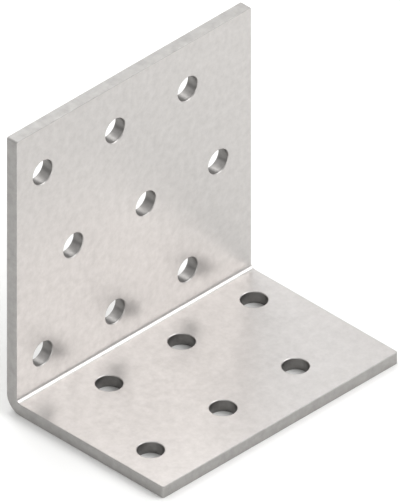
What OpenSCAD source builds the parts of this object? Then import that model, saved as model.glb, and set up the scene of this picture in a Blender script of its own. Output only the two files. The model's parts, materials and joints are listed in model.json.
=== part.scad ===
// Perforated plate angle: one piece of steel sheet, punched flat and folded once to a right angle.
// The origin is on the ground under the middle of the part. The upright leg stands at the -X side
// and the flat leg runs from it towards +X. The fold runs along Y.

/* [Sheet] */
// Thickness of the sheet
sheet_t = 2.5; // [1.5:0.1:4]
// Inside radius of the fold
bend_r = 1; // [0.5:0.1:3]
// Rounding along the sheared edges of the sheet
edge_r = 0.15; // [0.1:0.05:0.3]

/* [Legs] */
// Width of the part, along the fold
plate_w = 60; // [30:1:120]
// Height of the upright leg, from the underside of the flat leg to its top edge
upright_h = 60; // [30:1:120]
// Length of the flat leg, from the outer face of the upright to its free end
foot_l = 40; // [30:1:80]
// Corner radius at the free ends of the legs
corner_r = 0.5; // [0.4:0.1:6]

/* [Nail holes] */
// Diameter of a nail hole
hole_d = 5; // [3:0.1:6.5]
// Rounding of a hole's rim, on the side that the punch came from
rim_r = 0.2; // [0.1:0.05:0.6]
// Distance between neighbouring holes of a row
hole_pitch = 18.5; // [10:0.1:25]
// Distance between neighbouring rows
row_pitch = 20; // [10:0.1:25]
// Distance from the outer face of the other leg to the first row
first_row = 10; // [9:0.1:16]
// Distance from a side edge to the end hole of a row
side_margin = 6.8; // [5:0.1:12]
// Distance from a side edge to the end hole of the upright's middle row
middle_margin = 8.4; // [5:0.1:12]
// Least distance from the last hole of a row, or from the last row, to the edge beyond it
end_margin = 6; // [5:0.1:12]

/* [Hidden] */
$fn = 64;
// Outside radius of the fold
bend_out = bend_r + sheet_t;
// How far a hole's cutter stands proud of both faces
proud = 0.5;
LEFT = -1;
RIGHT = 1;

// How many copies at this pitch fit between a first place and the far margin
function copies(length, first, pitch) = floor((length - first - end_margin) / pitch) + 1;

// Section across the width of the sheet, with its four edges rounded
module sheet_section() {
  translate([-plate_w / 2 + edge_r, 0]) square([plate_w - 2 * edge_r, sheet_t]);
  translate([-plate_w / 2, edge_r]) square([plate_w, sheet_t - 2 * edge_r]);
  for (side = [LEFT, RIGHT], z = [edge_r, sheet_t - edge_r])
    translate([side * (plate_w / 2 - edge_r), z]) circle(edge_r);
}

// Section through a leg's free end, as deep as its corner radius, with two rounded edges
module end_section() {
  square([corner_r - edge_r, sheet_t]);
  translate([0, edge_r]) square([corner_r, sheet_t - 2 * edge_r]);
  for (z = [edge_r, sheet_t - edge_r])
    translate([corner_r - edge_r, z]) circle(edge_r);
}

// A leg lying along +X with its outer face down, from the end of the fold to its free end
module leg(length) {
  corner_y = plate_w / 2 - corner_r;
  translate([bend_out, 0, 0])
    rotate([90, 0, 90])
      linear_extrude(length - corner_r - bend_out) sheet_section();
  translate([length - corner_r, 0, 0]) {
    rotate([90, 0, 0]) linear_extrude(2 * corner_y, center = true) end_section();
    for (side = [LEFT, RIGHT])
      translate([0, side * corner_y, 0])
        rotate([0, 0, side == RIGHT ? 0 : -90])
          rotate_extrude(angle = 90) end_section();
  }
}

// The quarter turn that joins the two legs
module fold() {
  translate([bend_out, 0, bend_out])
    rotate([90, 0, 0])
      rotate([0, 0, 180])
        rotate_extrude(angle = 90)
          translate([bend_out, 0]) rotate([0, 0, 90]) sheet_section();
}

// The mouth of a hole, which widens in an arc towards the face of the sheet
module rim() {
  rotate_extrude()
    difference() {
      translate([0, -rim_r]) square([hole_d / 2 + rim_r, rim_r + proud]);
      translate([hole_d / 2 + rim_r, -rim_r]) circle(rim_r);
      translate([hole_d / 2 + rim_r, 0]) square([proud, proud]);
    }
}

// What a nail hole takes out of a leg that lies with its outer face down. It is punched from the inner
// face, so its rim is rounded there and stays sharp on the outer face.
module nail_hole() {
  translate([0, 0, -proud]) cylinder(d = hole_d, h = sheet_t + 2 * proud);
  translate([0, 0, sheet_t]) rim();
}

// A row of holes across the leg, counted from its left or its right side edge
module hole_row(from, margin) {
  for (i = [0 : copies(plate_w, margin, hole_pitch) - 1])
    translate([0, from * (plate_w / 2 - margin - i * hole_pitch), 0]) nail_hole();
}

module upright_holes() {
  for (i = [0 : copies(upright_h, first_row, row_pitch) - 1])
    translate([first_row + i * row_pitch, 0, 0])
      if (i % 2 == 0) hole_row(LEFT, side_margin);
      else hole_row(RIGHT, middle_margin);
}

module foot_holes() {
  for (i = [0 : copies(foot_l, first_row, row_pitch) - 1])
    translate([first_row + i * row_pitch, 0, 0])
      if (i % 2 == 0) hole_row(RIGHT, side_margin);
      else hole_row(LEFT, side_margin);
}

module angle_plate() {
  color("lightgray")
    translate([-foot_l / 2, 0, 0])
      difference() {
        union() {
          leg(foot_l);
          fold();
          mirror([1, 0, -1]) leg(upright_h);
        }
        foot_holes();
        mirror([1, 0, -1]) upright_holes();
      }
}

angle_plate();
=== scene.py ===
import json
import math

import bpy
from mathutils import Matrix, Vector


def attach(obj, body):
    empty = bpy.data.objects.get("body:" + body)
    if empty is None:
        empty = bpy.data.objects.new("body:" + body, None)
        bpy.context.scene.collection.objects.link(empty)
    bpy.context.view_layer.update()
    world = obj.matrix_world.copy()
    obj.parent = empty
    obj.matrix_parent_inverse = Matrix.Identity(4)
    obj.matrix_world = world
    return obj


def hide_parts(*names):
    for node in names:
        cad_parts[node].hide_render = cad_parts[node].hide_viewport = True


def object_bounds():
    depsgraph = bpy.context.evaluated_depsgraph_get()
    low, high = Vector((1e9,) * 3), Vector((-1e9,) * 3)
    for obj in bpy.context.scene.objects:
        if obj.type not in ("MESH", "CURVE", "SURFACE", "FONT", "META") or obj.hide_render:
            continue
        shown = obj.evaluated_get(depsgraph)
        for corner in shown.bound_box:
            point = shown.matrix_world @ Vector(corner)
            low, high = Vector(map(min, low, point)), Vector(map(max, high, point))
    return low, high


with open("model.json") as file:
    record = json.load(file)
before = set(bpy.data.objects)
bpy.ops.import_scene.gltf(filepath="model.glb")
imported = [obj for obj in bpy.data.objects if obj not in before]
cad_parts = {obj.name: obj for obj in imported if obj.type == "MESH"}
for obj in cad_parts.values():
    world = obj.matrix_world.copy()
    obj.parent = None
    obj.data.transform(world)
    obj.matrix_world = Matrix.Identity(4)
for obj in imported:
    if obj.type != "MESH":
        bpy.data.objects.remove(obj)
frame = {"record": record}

cad_low, cad_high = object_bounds()

# The folded plate
# One piece of 2.5 mm steel sheet, galvanised before it is cut. It is sheared to a rectangle with slightly
# rounded corners and folded once over a 1 mm radius, so the outside of the fold is rounder than the inside.

MM = 0.001
bend_r = 1 * MM
corner_r = 0.5 * MM
edge_r = 0.15 * MM
fold_steps = 16
corner_steps = 12
edge_steps = 4
quarter_turn = math.pi / 2
mounts = {mount["name"]: mount for mount in frame["record"]["mounts"]}
sheet_t = mounts["foot_top"]["pos_m"][2] - mounts["foot_underside"]["pos_m"][2]
bend_out = bend_r + sheet_t
plate_w = cad_high.y - cad_low.y
fold_x = cad_low.x + bend_out
fold_z = cad_low.z + bend_out
foot_length = cad_high.x - fold_x
upright_length = cad_high.z - fold_z

# How much of a direction lies along an axis: nearly all of it, and hardly any of it.
ALONG = 0.9
ACROSS = 0.1


def choose(part, kind, wanted):
    """Selects only the faces or edges of a piece whose middle and direction pass the test."""
    bpy.ops.object.mode_set(mode="EDIT")
    bpy.ops.mesh.select_mode(type=kind)
    bpy.ops.mesh.select_all(action="DESELECT")
    bpy.ops.object.mode_set(mode="OBJECT")
    mesh = part.data
    if kind == "FACE":
        for face in mesh.polygons:
            face.select = wanted(face.center, face.normal)
    else:
        for edge in mesh.edges:
            a, b = (mesh.vertices[i].co for i in edge.vertices)
            edge.select = wanted((a + b) / 2, (b - a).normalized())
    bpy.ops.object.mode_set(mode="EDIT")


bpy.ops.object.select_all(action="DESELECT")
bpy.ops.mesh.primitive_cube_add(
    size=1,
    location=(fold_x + foot_length / 2, 0, cad_low.z + sheet_t / 2),
    scale=(foot_length, plate_w, sheet_t),
)
plate = bpy.context.object
plate.name = "punched_angle_plate"
bpy.ops.object.transform_apply(location=True, rotation=True, scale=True)

# The flat leg's inner end is turned up through the fold and drawn out to the upright's top edge.
choose(plate, "FACE", lambda middle, normal: normal.x < -ALONG)
bpy.ops.mesh.spin(
    steps=fold_steps,
    angle=-quarter_turn,
    center=(fold_x, 0, fold_z),
    axis=(0, 1, 0),
)
bpy.ops.mesh.extrude_region_move(TRANSFORM_OT_translate={"value": (0, 0, upright_length)})


def at_free_end(middle):
    return middle.x > cad_high.x - edge_r or middle.z > cad_high.z - edge_r


def is_free_corner(middle, along):
    at_side = abs(middle.y) > plate_w / 2 - edge_r
    return at_free_end(middle) and at_side and abs(along.y) < ACROSS


choose(plate, "EDGE", is_free_corner)
bpy.ops.mesh.bevel(offset=corner_r, segments=corner_steps, affect="EDGES")
bpy.ops.object.mode_set(mode="OBJECT")


def linear(hex_colour):
    """An sRGB hex colour as linear red, green, blue and alpha."""
    parts = [int(hex_colour[i : i + 2], 16) / 255 for i in (1, 3, 5)]
    return [c / 12.92 if c <= 0.04045 else ((c + 0.055) / 1.055) ** 2.4 for c in parts] + [1]


def add(tree, kind, links=(), **settings):
    """Adds a node, sets its properties and sockets by name, and links (output, socket name) pairs to it."""
    node = tree.nodes.new(kind)
    for name, value in settings.items():
        if name in node.bl_rna.properties:
            setattr(node, name, value)
        else:
            node.inputs[name.replace("_", " ")].default_value = value
    for output, socket in links:
        tree.links.new(output, node.inputs[socket])
    return node


def give_finish(part, material):
    """Puts a finish on the chosen faces of a piece."""
    part.data.materials.append(material)
    part.active_material_index = len(part.data.materials) - 1
    bpy.ops.object.material_slot_assign()
    bpy.ops.object.mode_set(mode="OBJECT")


def mottled_metal(name, patch_width, greys, roughness, relief):
    """A bare metal in patches that break up into grains: dark, rough and low to light, smooth and raised."""
    breakup = 3
    grain_share = 0.7
    darkest, lightest = 0.3, 0.7
    material = bpy.data.materials.new(name)
    material.use_nodes = True
    tree = material.node_tree
    tree.nodes.clear()
    place = add(tree, "ShaderNodeTexCoord")
    grains = add(
        tree,
        "ShaderNodeTexNoise",
        [(place.outputs["Object"], "Vector")],
        Scale=1 / patch_width,
        Detail=breakup,
        Roughness=grain_share,
    )
    spread = add(
        tree,
        "ShaderNodeMapRange",
        [(grains.outputs[0], "Value")],
        From_Min=darkest,
        From_Max=lightest,
    )
    patches = spread.outputs["Result"]
    grey = add(
        tree,
        "ShaderNodeMixRGB",
        [(patches, "Fac")],
        Color1=linear(greys[0]),
        Color2=linear(greys[1]),
    )
    gloss = add(
        tree,
        "ShaderNodeMapRange",
        [(patches, "Value")],
        To_Min=roughness[0],
        To_Max=roughness[1],
    )
    surface = add(tree, "ShaderNodeBump", [(patches, "Height")], Distance=relief)
    shader = add(
        tree,
        "ShaderNodeBsdfPrincipled",
        [
            (grey.outputs["Color"], "Base Color"),
            (gloss.outputs["Result"], "Roughness"),
            (surface.outputs["Normal"], "Normal"),
        ],
        Metallic=1,
    )
    add(tree, "ShaderNodeOutputMaterial", [(shader.outputs["BSDF"], "Surface")])
    return material


# The faces keep the mill's hot-dip galvanising, rolled smooth: a warm light grey metal with a satin gloss
# and a faint mottle, from patches 1.6 mm wide down to the fine grains of the zinc, 0.2 mm wide.
zinc = mottled_metal(
    "galvanised_steel_satin",
    patch_width=1.6 * MM,
    greys=("#BBB8B6", "#C6C3C1"),
    roughness=(0.38, 0.32),
    relief=0.004 * MM,
)

# The sheared edges show bare steel, darker than the zinc and rough and blotchy where the shear tore it.
sheared = mottled_metal(
    "sheared_steel",
    patch_width=2 * MM,
    greys=("#A5A3A1", "#B0AEAC"),
    roughness=(0.6, 0.5),
    relief=0.02 * MM,
)


def is_sheared(middle, normal):
    slightly_sideways = 0.01
    return abs(normal.y) > slightly_sideways or at_free_end(middle)


choose(plate, "FACE", lambda middle, normal: True)
give_finish(plate, zinc)
choose(plate, "FACE", is_sheared)
give_finish(plate, sheared)


def finish_with(part, kind, **settings):
    """Adds a modifier to a piece and applies it."""
    bpy.ops.object.select_all(action="DESELECT")
    part.select_set(True)
    bpy.context.view_layer.objects.active = part
    bpy.ops.object.modifier_add(type=kind)
    modifier = part.modifiers[-1]
    for name, value in settings.items():
        setattr(modifier, name, value)
    bpy.ops.object.modifier_apply(modifier=modifier.name)


sharper_than = math.radians(40)
finish_with(
    plate,
    "BEVEL",
    width=edge_r,
    segments=edge_steps,
    limit_method="ANGLE",
    angle_limit=sharper_than,
    material=plate.data.materials.find(sheared.name),
)

# The nail holes
# Round 5 mm holes, punched through the flat sheet from its inner face. There the punch draws the zinc
# over the rim in a small rounding. The wall is cut through to the bare steel, and its far rim is sharp.

rim_r = 0.2 * MM
rim_steps = 3
hole_sides = 64
punch_length = 3 * sheet_t

# The walls are bare steel that the punch rubbed as it went through: smoother than the sheared edges. Their
# grey is partly the bare steel's own darker tone and partly painted shade, darkened to stand in for the
# shade inside the holes, so that the holes of the flat leg look deep.
punched_wall_and_painted_shade = mottled_metal(
    "punched_steel_and_painted_shade",
    patch_width=2 * MM,
    greys=("#858381", "#908E8C"),
    roughness=(0.45, 0.36),
    relief=0.01 * MM,
)


def hole_places():
    """Each nail hole's place on the outer face, its axis and its radius, from the record's patterns."""
    places = {}
    for mount in mounts.values():
        if mount["kind"] != "bolt_pattern":
            continue
        dims = mount["dims"]
        first, second = (i for i in range(3) if abs(mount["axis"][i]) < ACROSS)
        half_first = dims.get("spacing_x_mm", 0) * MM / 2
        half_second = dims.get("spacing_y_mm", 0) * MM / 2
        for u in (-half_first, half_first):
            for v in (-half_second, half_second):
                place = Vector(mount["pos_m"])
                place[first] += u
                place[second] += v
                hundredths = tuple(round(c / MM, 2) for c in place)
                places[hundredths] = (place, Vector(mount["axis"]), dims["hole_r_mm"] * MM)
    return list(places.values())


holes = hole_places()
punches = []
for place, axis, radius in holes:
    bpy.ops.object.select_all(action="DESELECT")
    bpy.ops.mesh.primitive_cylinder_add(
        vertices=hole_sides,
        radius=radius,
        depth=punch_length,
        location=place,
        rotation=axis.to_track_quat("Z", "Y").to_euler(),
    )
    bpy.context.object.data.materials.append(punched_wall_and_painted_shade)
    punches.append(bpy.context.object)
for punch in punches:
    punch.select_set(True)
bpy.context.view_layer.objects.active = punches[0]
bpy.ops.object.join()
bpy.ops.object.transform_apply(location=True, rotation=True, scale=True)
all_punches = bpy.context.object
finish_with(
    plate,
    "BOOLEAN",
    operation="DIFFERENCE",
    solver="EXACT",
    object=all_punches,
    material_mode="TRANSFER",
)
bpy.data.objects.remove(all_punches)


def is_punched_rim(middle, along):
    just_past = 1.01
    return any(
        (middle - (place - axis * sheet_t)).length < just_past * radius
        for place, axis, radius in holes
    )


choose(plate, "EDGE", is_punched_rim)
bpy.ops.mesh.bevel(
    offset=rim_r,
    segments=rim_steps,
    affect="EDGES",
    material=plate.data.materials.find(zinc.name),
)
bpy.ops.object.mode_set(mode="OBJECT")
bpy.ops.object.shade_smooth_by_angle(angle=sharper_than)
finish_with(plate, "WEIGHTED_NORMAL", weight=100, keep_sharp=True)
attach(plate, "root")
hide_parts("angle_plate")

# Camera
# A parallel view from 45 degrees to the right of the front and 35.3 degrees up, in which the three
# directions of the part are drawn at one scale. Its place follows from where the photograph has the
# near lower corner of the part's box, beside the fold.

frame_width = 400
frame_height = 502
pixels_per_metre = 5539.5
corner_pixel = (6.55, 408.4)
camera_distance = 0.5
corner = Vector((cad_low.x, cad_low.y, cad_low.z))
back = Vector((1, -1, 1)).normalized()
right = Vector((1, 1, 0)).normalized()
up = back.cross(right)
look_at = (
    corner
    + right * (frame_width / 2 - corner_pixel[0]) / pixels_per_metre
    + up * (corner_pixel[1] - frame_height / 2) / pixels_per_metre
)
bpy.ops.object.camera_add(
    location=look_at + back * camera_distance,
    rotation=back.to_track_quat("Z", "Y").to_euler(),
)
camera = bpy.context.object
camera.data.type = "ORTHO"
camera.data.ortho_scale = frame_height / pixels_per_metre
bpy.context.scene.camera = camera
bpy.context.scene.view_settings.view_transform = "Standard"

# Floor and light
# A sheet of matt white paper, seen in the upright's face, and soft boxes in a studio with light walls.
# Those behind and above light the flat leg, the fold and the paper, and those in front the cut edges.

floor_size = 4
under_the_part = 0.02 * MM
wall_light = 0.45
box_distance = 0.6
small_box = 0.32
large_box = 0.42

paper = bpy.data.materials.new("matt_white_paper")
paper.use_nodes = True
tree = paper.node_tree
tree.nodes.clear()
shader = add(tree, "ShaderNodeBsdfPrincipled", Base_Color=linear("#F4F4F3"), Roughness=0.9)
add(tree, "ShaderNodeOutputMaterial", [(shader.outputs["BSDF"], "Surface")])
bpy.ops.object.select_all(action="DESELECT")
bpy.ops.mesh.primitive_plane_add(size=floor_size, location=(0, 0, cad_low.z - under_the_part))
floor = bpy.context.object
floor.name = "floor"
floor.data.materials.append(paper)

world = bpy.data.worlds.new("studio")
bpy.context.scene.world = world
world.use_nodes = True
walls = world.node_tree.nodes["Background"]
walls.inputs["Color"].default_value = linear("#FFFFFF")
walls.inputs["Strength"].default_value = wall_light
part_middle = Vector((0, 0, cad_high.z / 2))


def softbox(name, azimuth, elevation, power, size=small_box):
    """A square area light that looks at the part. Azimuth 0 is on the +Y side and 90 on the +X side."""
    turn, rise = math.radians(azimuth), math.radians(elevation)
    away = Vector((math.sin(turn) * math.cos(rise), math.cos(turn) * math.cos(rise), math.sin(rise)))
    bpy.ops.object.light_add(
        type="AREA",
        location=part_middle + away * box_distance,
        rotation=away.to_track_quat("Z", "Y").to_euler(),
    )
    light = bpy.context.object
    light.name = name
    light.data.size = size
    light.data.energy = power


softbox("main_back_right", 45, 55, 1.09, large_box)
softbox("high_left", 270, 57, 0.72, large_box)
softbox("high_back_left", 315, 60, 0.77)
softbox("back", 30, 35, 0.61)
softbox("back_right", 60, 35, 0.8)
softbox("back_left", 300, 35, 0.43)
softbox("low_front_left", 225, 35, 0.3)
softbox("low_front_right", 135, 12, 0.86)
